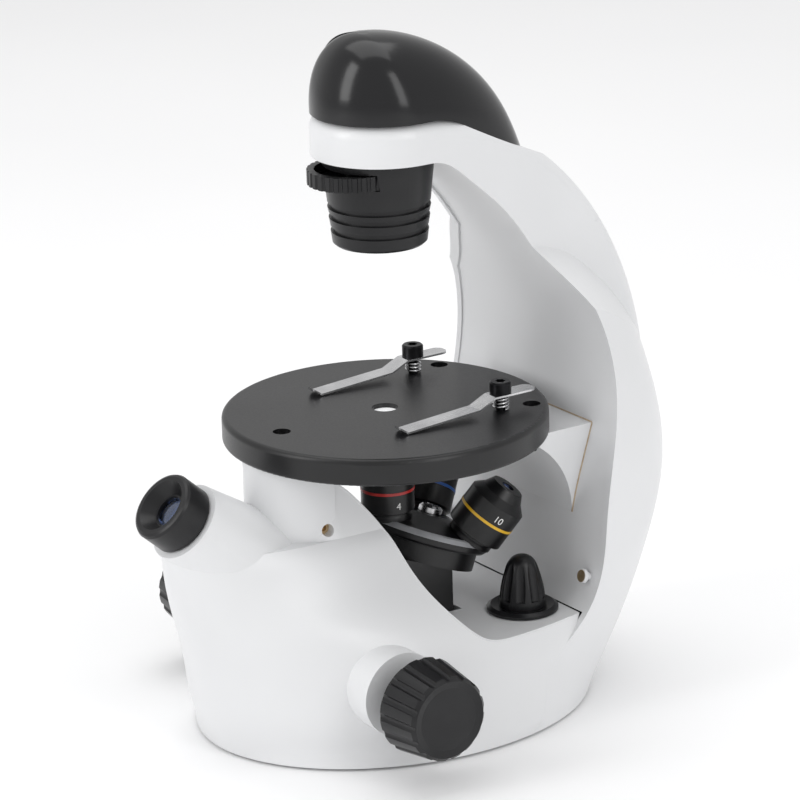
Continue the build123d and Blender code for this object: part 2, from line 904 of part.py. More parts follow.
def focus_knob():
    # A fluted, tapering knob on a narrow hub, drawn about +Z and then laid along +X.
    hub_back = knob_boss_face + free_gap
    body = spun([
        (0, hub_back),
        (knob_hub_radius, hub_back),
        (knob_hub_radius, knob_back),
        (knob_radius - knob_flare_step, knob_back),
        (knob_radius, knob_wide),
        (knob_face_radius, knob_face - knob_face_round),
        (knob_face_radius - knob_face_round, knob_face),
        (knob_face_radius - knob_face_rim, knob_face - knob_face_sink),
        (0, knob_face - knob_face_sink),
    ])
    taper = degrees(atan2(knob_radius - knob_face_radius, knob_length))
    groove_at = (knob_radius + knob_face_radius) / 2 + flute_radius - flute_depth
    groove = Pos(groove_at, 0, (knob_wide + knob_face) / 2)
    groove *= Rot(0, -taper, 0) * Cylinder(flute_radius, 3 * knob_length)
    for step in range(knob_flutes):
        body -= Rot(0, 0, step * 360 / knob_flutes) * groove
    body -= rod(0, 0, 0, shaft_end, shaft_radius)
    return Pos(0, shaft_y, shaft_z) * Rot(0, 90, 0) * body


def nosepiece_base():
    base = Pos(0, 0, (nose_base_bottom + nose_base_top) / 2) * Cylinder(nose_base_radius, nose_base_thickness)
    base -= Cylinder(turret_pin_radius, 4 * nose_base_radius)
    return turret_plane * base - rod(0, 0, 0, turret_z + turret_radius, light_radius)


def objective_place(number):
    # Objectives stand on a cone round the turret axis; number 0 stands on the optical axis.
    turn = Rot(0, 0, number * 360 / len(objectives))
    return turret_plane * turn * Pos(0, -turret_pitch, 0) * Rot(turret_lean, 0, 0)


def turret():
    rim_top = turret_rim - turret_depth
    body = spun([
        (0, -turret_depth),
        (turret_radius - turret_edge, -turret_depth),
        (turret_radius, turret_edge - turret_depth),
        (turret_radius, rim_top),
        (turret_radius - turret_chamfer, rim_top + turret_chamfer),
        (turret_hub_radius, turret_hub_top),
        (0, turret_hub_top),
    ])
    body -= Cylinder(turret_pin_radius + running_gap, 4 * turret_depth)
    body = turret_plane * body
    for number in range(len(objectives)):
        seat = Pos(0, 0, past) * Cylinder(objective_seat_radius, 2 * past)
        seat += Cylinder(light_radius, 6 * past)
        body -= objective_place(number) * seat
    return body


def turret_bolt():
    # A shouldered bolt with a slotted head that the turret turns on.
    head_low = turret_hub_top + free_gap / 2
    head_high = head_low + bolt_head_height
    bolt = spun([
        (0, nose_base_bottom),
        (turret_pin_radius, nose_base_bottom),
        (turret_pin_radius, head_low),
        (bolt_head_radius, head_low),
        (bolt_head_radius, head_high - bolt_head_round),
        (bolt_head_radius - bolt_head_round, head_high),
        (0, head_high),
    ])
    slot = Pos(0, 0, head_high) * Box(3 * bolt_head_radius, bolt_slot_width, 2 * bolt_slot_depth)
    return turret_plane * (bolt - slot)


def objective(number, radius, waist_radius, length, tip_radius):
    # A collar, a waist, a wide barrel with a chamfered shoulder and a stepped nose.
    collar_radius = objective_seat_radius - free_gap
    band_high = band_low + band_height
    nose = length * (1 - nose_share)
    shoulder = length * (1 - chamfer_share)
    body = spun([
        (lens_radius, 0),
        (collar_radius, 0),
        (collar_radius, collar_height),
        (waist_radius, collar_height + shoulder_height),
        (waist_radius, waist_top),
        (radius, waist_top + shoulder_height),
        (radius, band_low),
        (radius - band_depth, band_low),
        (radius - band_depth, band_high),
        (radius, band_high),
        (radius, shoulder),
        (tip_radius + nose_flare, nose),
        (tip_radius, length),
        (lens_radius, length),
    ])
    return objective_place(number) * body


def objective_band(number, radius):
    outer = radius + band_stand
    inner = radius - band_depth
    high = band_low + band_height
    return objective_place(number) * spun([(inner, band_low), (outer, band_low), (outer, high), (inner, high)])


def objective_lenses():
    lenses = []
    for number, size in enumerate(objectives):
        top = size[3] - lens_sink
        lens = Pos(0, 0, top - lens_thickness / 2) * Cylinder(lens_radius, lens_thickness)
        lenses.append(objective_place(number) * lens)
    return together(lenses)


eye_lens_top = eyepiece_head - eye_lens_depth
field_lens_radius = eyepiece_plug_radius - eyepiece_wall


def eyepiece():
    body = spun([
        (field_lens_radius, -eyepiece_plug_length),
        (eyepiece_plug_radius, -eyepiece_plug_length),
        (eyepiece_plug_radius, free_gap),
        (eyepiece_radius - eyepiece_heel, free_gap),
        (eyepiece_radius, free_gap + eyepiece_heel),
        (eyepiece_radius, eyepiece_head - eyepiece_round),
        (rim_radius, eyepiece_head - eyepiece_rim_drop),
        (eyepiece_radius - eyepiece_round, eyepiece_head),
        (eyepiece_radius - eyepiece_mouth, eyepiece_head),
        (eye_lens_radius + eyepiece_heel, eye_lens_top),
        (eye_lens_radius, eye_lens_top),
        (eye_lens_radius, eye_lens_top - 2 * eye_lens_thickness),
        (field_lens_radius, eye_lens_top - 3 * eye_lens_thickness),
    ])
    return eye_plane * body


def eye_lens():
    rim = eye_lens_top - eye_lens_sag
    disc = Pos(0, 0, rim - eye_lens_thickness / 2) * Cylinder(eye_lens_radius, eye_lens_thickness)
    dome = Pos(0, 0, eye_lens_top - eye_lens_curve) * Sphere(eye_lens_curve)
    return eye_plane * (disc + (dome & Pos(0, 0, rim + past / 2) * Cylinder(eye_lens_radius, past)))


def field_lens():
    place = field_lens_inset + field_lens_thickness / 2 - eyepiece_plug_length
    return eye_plane * Pos(0, 0, place) * Cylinder(field_lens_radius, field_lens_thickness)


def eyepiece_tube():
    tube = Cylinder(tube_radius, tube_length) - Cylinder(eyepiece_plug_radius + running_gap, tube_length)
    return eye_plane * Pos(0, 0, -tube_length / 2) * tube


rear_bolt_places = [(stage_bolt_x, stage_bolt_y), (-stage_bolt_x, stage_bolt_y)]
bolt_places = [(0, -stage_bolt_front), *rear_bolt_places]


def stage_plate():
    plate = rod(0, 0, stage_under, stage_top, stage_radius)
    plate = fillet(plate.edges().group_by(Axis.Z)[-1], stage_top_round)
    plate = fillet(plate.edges().group_by(Axis.Z)[0], stage_under_round)
    plate -= rod(0, 0, 0, stage_top + past, stage_window_radius)
    plate -= rod(0, 0, 0, stage_top - window_lip, window_glass_radius)
    for x, y in bolt_places:
        plate -= rod(x, y, 0, stage_top + past, stage_bolt_radius + screw_gap)
        plate -= rod(x, y, stage_top - stage_bolt_sink, stage_top + past, stage_bolt_head_radius + screw_gap)
    return plate - both_sides(rod(clip_x, clip_y, 0, stage_top + past, clip_screw_radius))


def stage_glass():
    top = stage_top - window_lip
    return rod(0, 0, top - window_glass_thickness, top, window_glass_radius)


def stage_bolts():
    seat = stage_top - stage_bolt_sink
    head_top_z = seat + stage_bolt_head
    bolt = rod(0, 0, seat, head_top_z, stage_bolt_head_radius)
    bolt -= key_hole(bolt_key_radius, head_top_z, bolt_key_depth)
    bolt += rod(0, 0, stage_under - stage_bolt_bite, seat, stage_bolt_radius)
    return together([Pos(x, y, 0) * bolt for x, y in bolt_places])


def stage_bracket():
    # A corbel on the panel with a hollow-curved underside that the objectives swing under.
    height = stage_under - bracket_bottom
    side = Pos(bracket_arc_y + space / 2, bracket_bottom + height / 2) * Rectangle(space, height)
    side -= Pos(bracket_arc_y, bracket_arc_z) * Circle(bracket_arc_radius)
    foot_half_width = bracket_half_width - bracket_side_slope
    front = Polyline(
        (-bracket_half_width, stage_under),
        (bracket_half_width, stage_under),
        (foot_half_width, bracket_bottom),
        (-foot_half_width, bracket_bottom),
        close=True,
    )
    corbel = along_x(side, space) & extrude(Plane.XZ * make_face(front), space, both=True)
    corbel -= panel_front
    for x, y in rear_bolt_places:
        corbel -= rod(x, y, stage_under - stage_bolt_bite, stage_under + past, stage_bolt_radius)
    return corbel


def stage_clip():
    # A bent spring strip: tail, flat, step down, long run and turned-up tip.
    line = [
        (clip_tail, clip_rise),
        (-clip_bend, clip_rise),
        (-clip_step, clip_step_rise),
        (clip_lift - clip_reach, free_gap),
        (-clip_reach, free_gap + clip_tip_rise),
    ]
    over = [(y, z + clip_thickness) for y, z in reversed(line)]
    strip = along_x(make_face(Polyline(*line, *over, close=True)), clip_width / 2)
    plan = RectangleRounded(clip_width, clip_tail + clip_reach, clip_corner)
    strip &= Pos(0, (clip_tail - clip_reach) / 2) * extrude(plan, clip_rise + past)
    strip -= rod(0, 0, -past, clip_rise + past, clip_screw_radius + running_gap)
    return Pos(clip_x, clip_y, stage_top) * strip


def clip_screw():
    start = clip_rise + clip_thickness + free_gap / 4
    top = start + clip_head_height
    screw = spun([
        (0, clip_screw_stop - stage_thickness),
        (clip_screw_radius, clip_screw_stop - stage_thickness),
        (clip_screw_radius, start),
        (clip_head_radius, start),
        (clip_head_radius, top - clip_head_round),
        (clip_head_radius - clip_head_round, top),
        (0, top),
    ])
    return Pos(clip_x, clip_y, stage_top) * (screw - key_hole(clip_key_radius, top, clip_key_depth))


def clip_spring():
    height = clip_rise - 2 * spring_wire - screw_gap
    coil = Helix(pitch=height / spring_turns, height=height, radius=spring_radius)
    wire = sweep(Plane(coil @ 0, z_dir=coil % 0) * Circle(spring_wire), path=coil)
    return Pos(clip_x, clip_y, stage_top + spring_wire + screw_gap / 2) * wire


def grip_radius(height):
    # Radius of the tapering lamp barrel at a height over its lower end.
    return barrel_bottom_radius + (barrel_top_radius - barrel_bottom_radius) * height / (head_bottom - barrel_bottom)


def condenser_barrel():
    # A tapering grip with three grooves, a web under the diaphragm and a spigot into the head.
    outline = [
        (barrel_bore, barrel_bottom),
        (barrel_bottom_radius - barrel_lip, barrel_bottom),
        (grip_radius(barrel_lip), barrel_bottom + barrel_lip),
    ]
    for height in barrel_grooves:
        radius = grip_radius(height)
        low = barrel_bottom + height - groove_height / 2
        high = low + groove_height
        outline += [(radius, low), (radius - groove_depth, low), (radius - groove_depth, high), (radius, high)]
    web_top = barrel_web_bottom + barrel_web
    spigot_bore = spigot_radius - spigot_wall
    outline += [
        (barrel_top_radius, barrel_top),
        (spigot_bore, barrel_top),
        (spigot_bore, web_top),
        (light_radius, web_top),
        (light_radius, barrel_web_bottom),
        (barrel_bore, barrel_web_bottom),
    ]
    barrel = spun(outline) - panel_front
    barrel += spun([
        (spigot_bore, web_top),
        (spigot_radius, web_top),
        (spigot_radius, spigot_top),
        (spigot_bore, spigot_top),
    ])
    slot_low = wheel_bottom - free_gap
    slot_high = wheel_bottom + wheel_thickness + free_gap
    barrel -= rod(0, -wheel_centre, slot_low, slot_high, wheel_radius + free_gap)
    return barrel - rod(0, -wheel_centre, barrel_web_bottom, slot_low, wheel_pin_radius)


def diaphragm_wheel():
    wheel = Cylinder(wheel_radius, wheel_thickness)
    wheel -= Pos(0, 0, wheel_web) * Cylinder(wheel_radius - wheel_rim, wheel_thickness)
    wheel += Cylinder(wheel_hub_radius, wheel_thickness)
    for step in range(wheel_teeth):
        turn = Rot(0, 0, step * 360 / wheel_teeth)
        wheel -= turn * Pos(wheel_radius + wheel_notch_out, 0, 0) * Cylinder(wheel_notch_radius, 2 * wheel_thickness)
    for step, radius in enumerate(aperture_radii):
        turn = Rot(0, 0, 90 + step * 360 / len(aperture_radii))
        wheel -= turn * Pos(wheel_centre, 0, 0) * Cylinder(radius, 2 * wheel_thickness)
    wheel -= Cylinder(wheel_pin_radius + running_gap, 2 * wheel_thickness)
    return Pos(0, -wheel_centre, wheel_bottom + wheel_thickness / 2) * wheel


def diaphragm_pin():
    return rod(0, -wheel_centre, barrel_web_bottom, wheel_bottom + wheel_thickness, wheel_pin_radius)


def collector_lens():
    low = barrel_bottom + collector_inset
    edge = low + collector_edge
    dome = Pos(0, 0, edge + collector_sag - collector_curve) * Sphere(collector_curve)
    return rod(0, 0, low, edge, barrel_bore) + (dome & rod(0, 0, edge, edge + collector_curve, barrel_bore))


def lamp_board():
    return rod(0, 0, spigot_top, spigot_top + board_thickness, spigot_radius)


def lamp_emitter():
    low = spigot_top - emitter_height
    dome = Pos(0, 0, low) * Sphere(emitter_dome) & rod(0, 0, low - past, low, emitter_radius)
    return rod(0, 0, low, spigot_top, emitter_radius) + dome


def dimmer_knob():
    # A bullet-shaped fluted knob standing in a dished skirt, turned from one smooth profile.
    low = deck_height + free_gap
    top = deck_height + dimmer_height
    dish = low + dimmer_dish
    lip = dimmer_skirt_radius - dimmer_skirt_lip
    bullet = Spline(
        (dimmer_radius, dish),
        (dimmer_shoulder_radius, top - dimmer_shoulder_drop),
        (0, top),
        tangents=[(0, 1), (-1, 0)],
    )
    skirt = Polyline(
        (0, top),
        (0, low),
        (dimmer_skirt_radius, low),
        (dimmer_skirt_radius, low + dimmer_skirt_edge / 2),
        (lip, low + dimmer_skirt_edge),
        (dimmer_radius, dish),
    )
    body = revolve(Plane.XZ * make_face([bullet, skirt]), Axis.Z)
    groove_at = dimmer_shoulder_radius + dimmer_flute_radius - dimmer_flute_depth
    length = dimmer_height - dimmer_dish
    groove = Pos(groove_at, 0, top - dimmer_shoulder_drop) * Rot(0, -dimmer_flute_lean, 0)
    groove *= Cylinder(dimmer_flute_radius, length)
    for step in range(dimmer_flutes):
        body -= Rot(0, 0, step * 360 / dimmer_flutes) * groove & layer(dish + dimmer_dish, space)
    body -= rod(0, 0, 0, dimmer_shaft_top, dimmer_shaft_radius)
    return Pos(dimmer_x, dimmer_y, 0) * body


def dimmer_shaft():
    return rod(dimmer_x, dimmer_y, deck_under - dimmer_shaft_sink, dimmer_shaft_top, dimmer_shaft_radius)


def dimmer_pot():
    pot = Pos(dimmer_x, dimmer_y, deck_under - pot_height / 2) * Box(pot_side, pot_side, pot_height)
    pot += rod(dimmer_x, dimmer_y, deck_under, deck_height, pot_bush_radius)
    bore = dimmer_shaft_radius + running_gap
    return pot - rod(dimmer_x, dimmer_y, deck_under - dimmer_shaft_sink, deck_height + past, bore)


save("arm_shell", arm_shell())
save("arm_panel", arm_panel())
save("top_cap", top_cap())
save("base_housing", base_housing())
save("base_plate", base_plate())
save("base_screws", base_screws())
save("rubber_feet", rubber_feet())
save("circuit_board", circuit_board())
save("power_socket", power_socket())
save("mirror", mirror_glass())
save("mirror_mount", mirror_mount())
save("guide_rods", guide_rods())
save("focus_carriage", focus_carriage())
save("focus_rack", focus_rack())
save("focus_pinion", focus_pinion())
save("focus_shaft", focus_shaft())
save("focus_bushes", focus_bushes())
save("focus_knob_right", focus_knob())
save("focus_knob_left", mirrored(focus_knob()))
save("nosepiece_base", nosepiece_base())
save("nosepiece_turret", turret())
save("turret_bolt", turret_bolt())
for number, (name, radius, waist_radius, length, tip_radius) in enumerate(objectives):
    save("objective_" + name, objective(number, radius, waist_radius, length, tip_radius))
    save("band_" + name, objective_band(number, radius))
save("objective_lenses", objective_lenses())
save("eyepiece", eyepiece())
save("eye_lens", eye_lens())
save("field_lens", field_lens())
save("eyepiece_tube", eyepiece_tube())
save("stage_plate", stage_plate())
save("stage_glass", stage_glass())
save("stage_bolts", stage_bolts())
save("stage_bracket", stage_bracket())
save("clip_right", stage_clip())
save("clip_left", mirrored(stage_clip()))
save("clip_screws", both_sides(clip_screw()))
save("clip_springs", both_sides(clip_spring()))
save("post_screws", post_screws())
save("panel_screws", panel_screws())
save("condenser_barrel", condenser_barrel())
save("collector_lens", collector_lens())
save("diaphragm_wheel", diaphragm_wheel())
save("diaphragm_pin", diaphragm_pin())
save("lamp_board", lamp_board())
save("lamp_emitter", lamp_emitter())
save("dimmer_knob", dimmer_knob())
save("dimmer_shaft", dimmer_shaft())
save("dimmer_pot", dimmer_pot())
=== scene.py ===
import json
from math import atan2, cos, pi, radians, sin
import bpy
import bmesh
from mathutils import Matrix, Vector


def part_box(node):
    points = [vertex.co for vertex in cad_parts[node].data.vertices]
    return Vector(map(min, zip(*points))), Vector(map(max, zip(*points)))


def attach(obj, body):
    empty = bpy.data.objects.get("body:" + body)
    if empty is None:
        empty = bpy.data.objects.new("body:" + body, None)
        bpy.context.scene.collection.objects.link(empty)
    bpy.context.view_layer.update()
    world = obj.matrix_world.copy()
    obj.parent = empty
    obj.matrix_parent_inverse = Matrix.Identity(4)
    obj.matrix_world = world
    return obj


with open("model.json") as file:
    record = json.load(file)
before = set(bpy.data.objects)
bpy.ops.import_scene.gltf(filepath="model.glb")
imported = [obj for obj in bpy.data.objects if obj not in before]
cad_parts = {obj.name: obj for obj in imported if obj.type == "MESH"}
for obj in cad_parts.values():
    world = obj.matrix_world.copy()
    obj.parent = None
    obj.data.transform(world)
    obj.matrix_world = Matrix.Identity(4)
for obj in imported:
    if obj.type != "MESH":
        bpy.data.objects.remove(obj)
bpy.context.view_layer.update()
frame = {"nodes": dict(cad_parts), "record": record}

nodes = frame["nodes"]
slotOfNode = {part["node"]: part["material_slot"] for part in frame["record"]["subparts"]}
print("frame loaded:", len(nodes), "nodes")


# finishes: every one is a node material on Object coordinates

def newFinish(name):
    finish = bpy.data.materials.new(name)
    finish.use_nodes = True
    tree = finish.node_tree
    shader = next(node for node in tree.nodes if node.type == "BSDF_PRINCIPLED")
    coords = tree.nodes.new("ShaderNodeTexCoord")
    return finish, tree, shader, coords


def addNoise(tree, coords, scale, detail=4.0, stretch=(1.0, 1.0, 1.0), rough=0.55):
    mapping = tree.nodes.new("ShaderNodeMapping")
    mapping.inputs["Scale"].default_value = stretch
    noise = tree.nodes.new("ShaderNodeTexNoise")
    noise.inputs["Scale"].default_value = scale
    noise.inputs["Detail"].default_value = detail
    noise.inputs["Roughness"].default_value = rough
    tree.links.new(coords.outputs["Object"], mapping.inputs["Vector"])
    tree.links.new(mapping.outputs["Vector"], noise.inputs["Vector"])
    return noise.outputs["Fac"]


def addRamp(tree, value, low, high, start=0.35, end=0.65):
    ramp = tree.nodes.new("ShaderNodeValToRGB")
    ramp.color_ramp.elements[0].position = start
    ramp.color_ramp.elements[1].position = end
    ramp.color_ramp.elements[0].color = low if len(low) == 4 else (*low, 1.0)
    ramp.color_ramp.elements[1].color = high if len(high) == 4 else (*high, 1.0)
    tree.links.new(value, ramp.inputs["Fac"])
    return ramp.outputs["Color"]


def addRange(tree, value, low, high):
    span = tree.nodes.new("ShaderNodeMapRange")
    span.inputs["To Min"].default_value = low
    span.inputs["To Max"].default_value = high
    tree.links.new(value, span.inputs["Value"])
    return span.outputs["Result"]


def addBump(tree, value, strength, distance):
    bump = tree.nodes.new("ShaderNodeBump")
    bump.inputs["Strength"].default_value = strength
    bump.inputs["Distance"].default_value = distance
    tree.links.new(value, bump.inputs["Height"])
    return bump.outputs["Normal"]


def coatedFinish(name, spec):
    # paint or moulded plastic: broad tone drift, fine grain in gloss and relief
    finish, tree, shader, coords = newFinish(name)
    drift = addNoise(tree, coords, spec["driftScale"], 2.0)
    grain = addNoise(tree, coords, spec["grainScale"], 5.0)
    colour = addRamp(tree, drift, spec["dark"], spec["light"])
    tree.links.new(colour, shader.inputs["Base Color"])
    gloss = addRange(tree, grain, spec["smooth"], spec["rough"])
    tree.links.new(gloss, shader.inputs["Roughness"])
    tree.links.new(addBump(tree, grain, spec["relief"], spec["depth"]), shader.inputs["Normal"])
    shader.inputs["Metallic"].default_value = spec.get("metal", 0.0)
    shader.inputs["Coat Weight"].default_value = spec.get("coat", 0.0)
    shader.inputs["Coat Roughness"].default_value = spec.get("coatRough", 0.08)
    shader.inputs["Specular IOR Level"].default_value = spec.get("specular", 0.5)
    # optional painted glow in the light tone, for parts that should look lit
    shader.inputs["Emission Color"].default_value = (*spec["light"], 1.0)
    shader.inputs["Emission Strength"].default_value = spec.get("glow", 0.0)
    return finish


def metalFinish(name, spec):
    # drawn or turned metal: long scratches in gloss and relief
    finish, tree, shader, coords = newFinish(name)
    lines = addNoise(tree, coords, spec["lineScale"], 6.0, spec["stretch"])
    drift = addNoise(tree, coords, spec["driftScale"], 3.0)
    tree.links.new(addRamp(tree, drift, spec["dark"], spec["light"]), shader.inputs["Base Color"])
    tree.links.new(addRange(tree, lines, spec["smooth"], spec["rough"]), shader.inputs["Roughness"])
    tree.links.new(addBump(tree, lines, spec["relief"], spec["depth"]), shader.inputs["Normal"])
    shader.inputs["Metallic"].default_value = 1.0
    return finish


def glassFinish(name, spec):
    finish, tree, shader, coords = newFinish(name)
    haze = addNoise(tree, coords, spec["hazeScale"], 3.0)
    tree.links.new(addRamp(tree, haze, spec["dark"], spec["light"]), shader.inputs["Base Color"])
    tree.links.new(addRange(tree, haze, spec["smooth"], spec["rough"]), shader.inputs["Roughness"])
    shader.inputs["IOR"].default_value = spec["ior"]
    shader.inputs["Transmission Weight"].default_value = spec["clear"]
    shader.inputs["Coat Weight"].default_value = spec["coat"]
    shader.inputs["Coat Tint"].default_value = (*spec["bloom"], 1.0)
    shader.inputs["Coat Roughness"].default_value = spec["coatRough"]
    return finish


def boardFinish(name, spec):
    # green board with a grid of copper tracks
    finish, tree, shader, coords = newFinish(name)
    tracks = tree.nodes.new("ShaderNodeTexBrick")
    tracks.inputs["Scale"].default_value = spec["trackScale"]
    tracks.inputs["Mortar Size"].default_value = spec["trackWidth"]
    tracks.inputs["Color1"].default_value = (*spec["dark"], 1.0)
    tracks.inputs["Color2"].default_value = (*spec["light"], 1.0)
    tracks.inputs["Mortar"].default_value = (*spec["copper"], 1.0)
    tree.links.new(coords.outputs["Object"], tracks.inputs["Vector"])
    tree.links.new(tracks.outputs["Color"], shader.inputs["Base Color"])
    grain = addNoise(tree, coords, spec["grainScale"])
    tree.links.new(addRange(tree, grain, spec["smooth"], spec["rough"]), shader.inputs["Roughness"])
    relief = addBump(tree, tracks.outputs["Fac"], spec["relief"], spec["depth"])
    tree.links.new(relief, shader.inputs["Normal"])
    return finish


coatedSpecs = {
    "white_enamel": {"dark": (0.70, 0.705, 0.715), "light": (0.75, 0.755, 0.765), "driftScale": 9.0,
                     "grainScale": 620.0, "smooth": 0.30, "rough": 0.40, "relief": 0.10, "depth": 0.0001,
                     "coat": 0.25, "coatRough": 0.22},
    "black_gloss": {"dark": (0.004, 0.004, 0.005), "light": (0.008, 0.008, 0.009), "driftScale": 14.0,
                    "grainScale": 300.0, "smooth": 0.15, "rough": 0.21, "relief": 0.03, "depth": 0.0001,
                    "specular": 0.42},
    "black_plastic": {"dark": (0.007, 0.007, 0.008), "light": (0.013, 0.013, 0.014), "driftScale": 40.0,
                      "grainScale": 1500.0, "smooth": 0.26, "rough": 0.38, "relief": 0.16, "depth": 0.0001,
                      "specular": 0.34},
    "black_enamel": {"dark": (0.003, 0.003, 0.0035), "light": (0.007, 0.007, 0.0078), "driftScale": 30.0,
                     "grainScale": 1300.0, "smooth": 0.28, "rough": 0.42, "relief": 0.22, "depth": 0.0001,
                     "specular": 0.48},
    "rubber": {"dark": (0.014, 0.014, 0.014), "light": (0.024, 0.024, 0.024), "driftScale": 60.0,
               "grainScale": 1800.0, "smooth": 0.62, "rough": 0.8, "relief": 0.3, "depth": 0.0001},
    "lamp": {"dark": (0.85, 0.72, 0.25), "light": (0.95, 0.86, 0.45), "driftScale": 300.0,
             "grainScale": 1500.0, "smooth": 0.3, "rough": 0.5, "relief": 0.2, "depth": 0.0001},
    "band_red": {"dark": (0.42, 0.02, 0.02), "light": (0.55, 0.035, 0.03), "driftScale": 120.0,
                 "grainScale": 1500.0, "smooth": 0.25, "rough": 0.36, "relief": 0.1, "depth": 0.0001},
    "band_yellow": {"dark": (0.72, 0.42, 0.02), "light": (0.82, 0.52, 0.04), "driftScale": 120.0,
                    "grainScale": 1500.0, "smooth": 0.25, "rough": 0.36, "relief": 0.1, "depth": 0.0001},
    "band_blue": {"dark": (0.02, 0.10, 0.42), "light": (0.03, 0.15, 0.55), "driftScale": 120.0,
                  "grainScale": 1500.0, "smooth": 0.25, "rough": 0.36, "relief": 0.1, "depth": 0.0001},
}
metalSpecs = {
    "bright_steel": {"dark": (0.56, 0.56, 0.57), "light": (0.68, 0.68, 0.69),
                     "driftScale": 90.0, "lineScale": 700.0,
                     "stretch": (1.0, 0.06, 1.0),
                     "smooth": 0.18, "rough": 0.34, "relief": 0.12, "depth": 0.0001},
    "black_steel": {"dark": (0.012, 0.012, 0.013), "light": (0.03, 0.03, 0.032),
                    "driftScale": 90.0, "lineScale": 900.0,
                    "stretch": (1.0, 1.0, 0.2),
                    "smooth": 0.28, "rough": 0.45, "relief": 0.12, "depth": 0.0001},
    "brass": {"dark": (0.62, 0.44, 0.17), "light": (0.76, 0.57, 0.25),
              "driftScale": 120.0, "lineScale": 900.0,
              "stretch": (1.0, 1.0, 0.1), "smooth": 0.22, "rough": 0.38, "relief": 0.12, "depth": 0.0001},
    "aluminium": {"dark": (0.60, 0.60, 0.61), "light": (0.72, 0.72, 0.73),
                  "driftScale": 90.0, "lineScale": 800.0,
                  "stretch": (1.0, 0.15, 1.0),
                  "smooth": 0.26, "rough": 0.42, "relief": 0.12, "depth": 0.0001},
    "mirror": {"dark": (0.88, 0.89, 0.90), "light": (0.93, 0.94, 0.95),
               "driftScale": 60.0, "lineScale": 500.0,
               "stretch": (1.0, 1.0, 1.0), "smooth": 0.01, "rough": 0.04, "relief": 0.01, "depth": 0.0001},
}
lensSpec = {"dark": (0.82, 0.90, 0.92), "light": (0.92, 0.96, 0.97), "hazeScale": 260.0, "smooth": 0.0,
            "rough": 0.03, "ior": 1.52, "clear": 1.0, "bloom": (0.75, 0.82, 1.0), "coat": 1.0,
            "coatRough": 0.02}
boardSpec = {"dark": (0.015, 0.13, 0.05), "light": (0.02, 0.17, 0.07), "copper": (0.10, 0.30, 0.12),
             "trackScale": 160.0, "trackWidth": 0.05, "grainScale": 900.0, "smooth": 0.3, "rough": 0.45,
             "relief": 0.3, "depth": 0.0001}

markSpec = {"dark": (0.72, 0.72, 0.71), "light": (0.84, 0.84, 0.83), "driftScale": 400.0,
            "grainScale": 2200.0, "smooth": 0.4, "rough": 0.55, "relief": 0.1, "depth": 0.00005}
sealSpec = {"dark": (0.40, 0.30, 0.20), "light": (0.52, 0.41, 0.29), "driftScale": 300.0,
            "grainScale": 1600.0, "smooth": 0.45, "rough": 0.6, "relief": 0.25, "depth": 0.0001}
# opal window glass with a painted glow standing in for the lamp light from beneath
opalGlowSpec = {"dark": (0.86, 0.87, 0.88), "light": (0.93, 0.93, 0.94), "driftScale": 60.0, "grainScale": 900.0,
            "smooth": 0.08, "rough": 0.14, "relief": 0.02, "depth": 0.0001, "coat": 0.8, "coatRough": 0.05,
            "glow": 0.5}
zincSpec = {"dark": (0.50, 0.36, 0.20), "light": (0.66, 0.51, 0.32), "driftScale": 260.0, "lineScale": 1200.0,
            "stretch": (1.0, 1.0, 0.3), "smooth": 0.3, "rough": 0.48, "relief": 0.15, "depth": 0.0001}
# turret rim grey: worn bare metal, lightened further as a painted highlight on the chamfer
edgeSheenSpec = {"dark": (0.44, 0.45, 0.47), "light": (0.54, 0.55, 0.57), "driftScale": 120.0, "grainScale": 900.0,
            "smooth": 0.26, "rough": 0.36, "relief": 0.08, "depth": 0.0001, "metal": 0.3}

finishes = {name: coatedFinish(name, spec) for name, spec in coatedSpecs.items()}
finishes.update({name: metalFinish(name, spec) for name, spec in metalSpecs.items()})
finishes["lens_glass"] = glassFinish("lens_glass", lensSpec)
finishes["circuit"] = boardFinish("circuit", boardSpec)
finishes["markPaint"] = coatedFinish("markPaint", markSpec)
finishes["sealBead"] = coatedFinish("sealBead", sealSpec)
finishes["opalPaintedGlow"] = coatedFinish("opalPaintedGlow", opalGlowSpec)
finishes["yellowZinc"] = metalFinish("yellowZinc", zincSpec)
finishes["turnedEdgeSheen"] = coatedFinish("turnedEdgeSheen", edgeSheenSpec)
ownFinish = {"post_screws": "yellowZinc", "panel_screws": "white_enamel",
             "stage_glass": "opalPaintedGlow"}  # plated and painted screws, window given a painted glow for the lamp light shining up through it
for name, piece in nodes.items():
    for slot in piece.material_slots:
        slot.material = finishes[ownFinish.get(name, slotOfNode[name])]
print("finishes set:", len(finishes))


# small pieces that the solids leave out

def addPiece(name, mesh, finish, body):
    mesh.materials.clear()
    mesh.materials.append(finishes[finish])
    piece = bpy.data.objects.new(name, mesh)
    bpy.context.scene.collection.objects.link(piece)
    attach(piece, body)
    return piece


joints = {joint["name"]: joint for joint in frame["record"]["behaviour"]["joints"]}
turretJoint = joints["nosepiece_turn"]
turretPlace = Vector(turretJoint["pos_m"])
turretAxis = Vector(turretJoint["axis"]).normalized()
viewSide = Vector((0.793, -0.523, 0.3115))  # towards the photo's camera


def objectiveSeat(step):
    # the first objective stands on the light axis, the others follow by thirds of a turn
    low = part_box("objective_4x")[0]
    around = Matrix.Rotation(step * 2.0 * pi / 3.0, 4, turretAxis)
    turn = Matrix.Translation(turretPlace) @ around @ Matrix.Translation(-turretPlace)
    return turn @ Matrix.Translation((0.0, 0.0, low[2]))


powerMarks = {"size": 0.0042, "lift": 0.00006, "thick": 0.00003, "swing": 0.42,
              "marks": (("4", 0, 0.0112, 0.0058), ("10", 1, 0.0125, 0.0146), ("40", 2, 0.0116, 0.0150))}


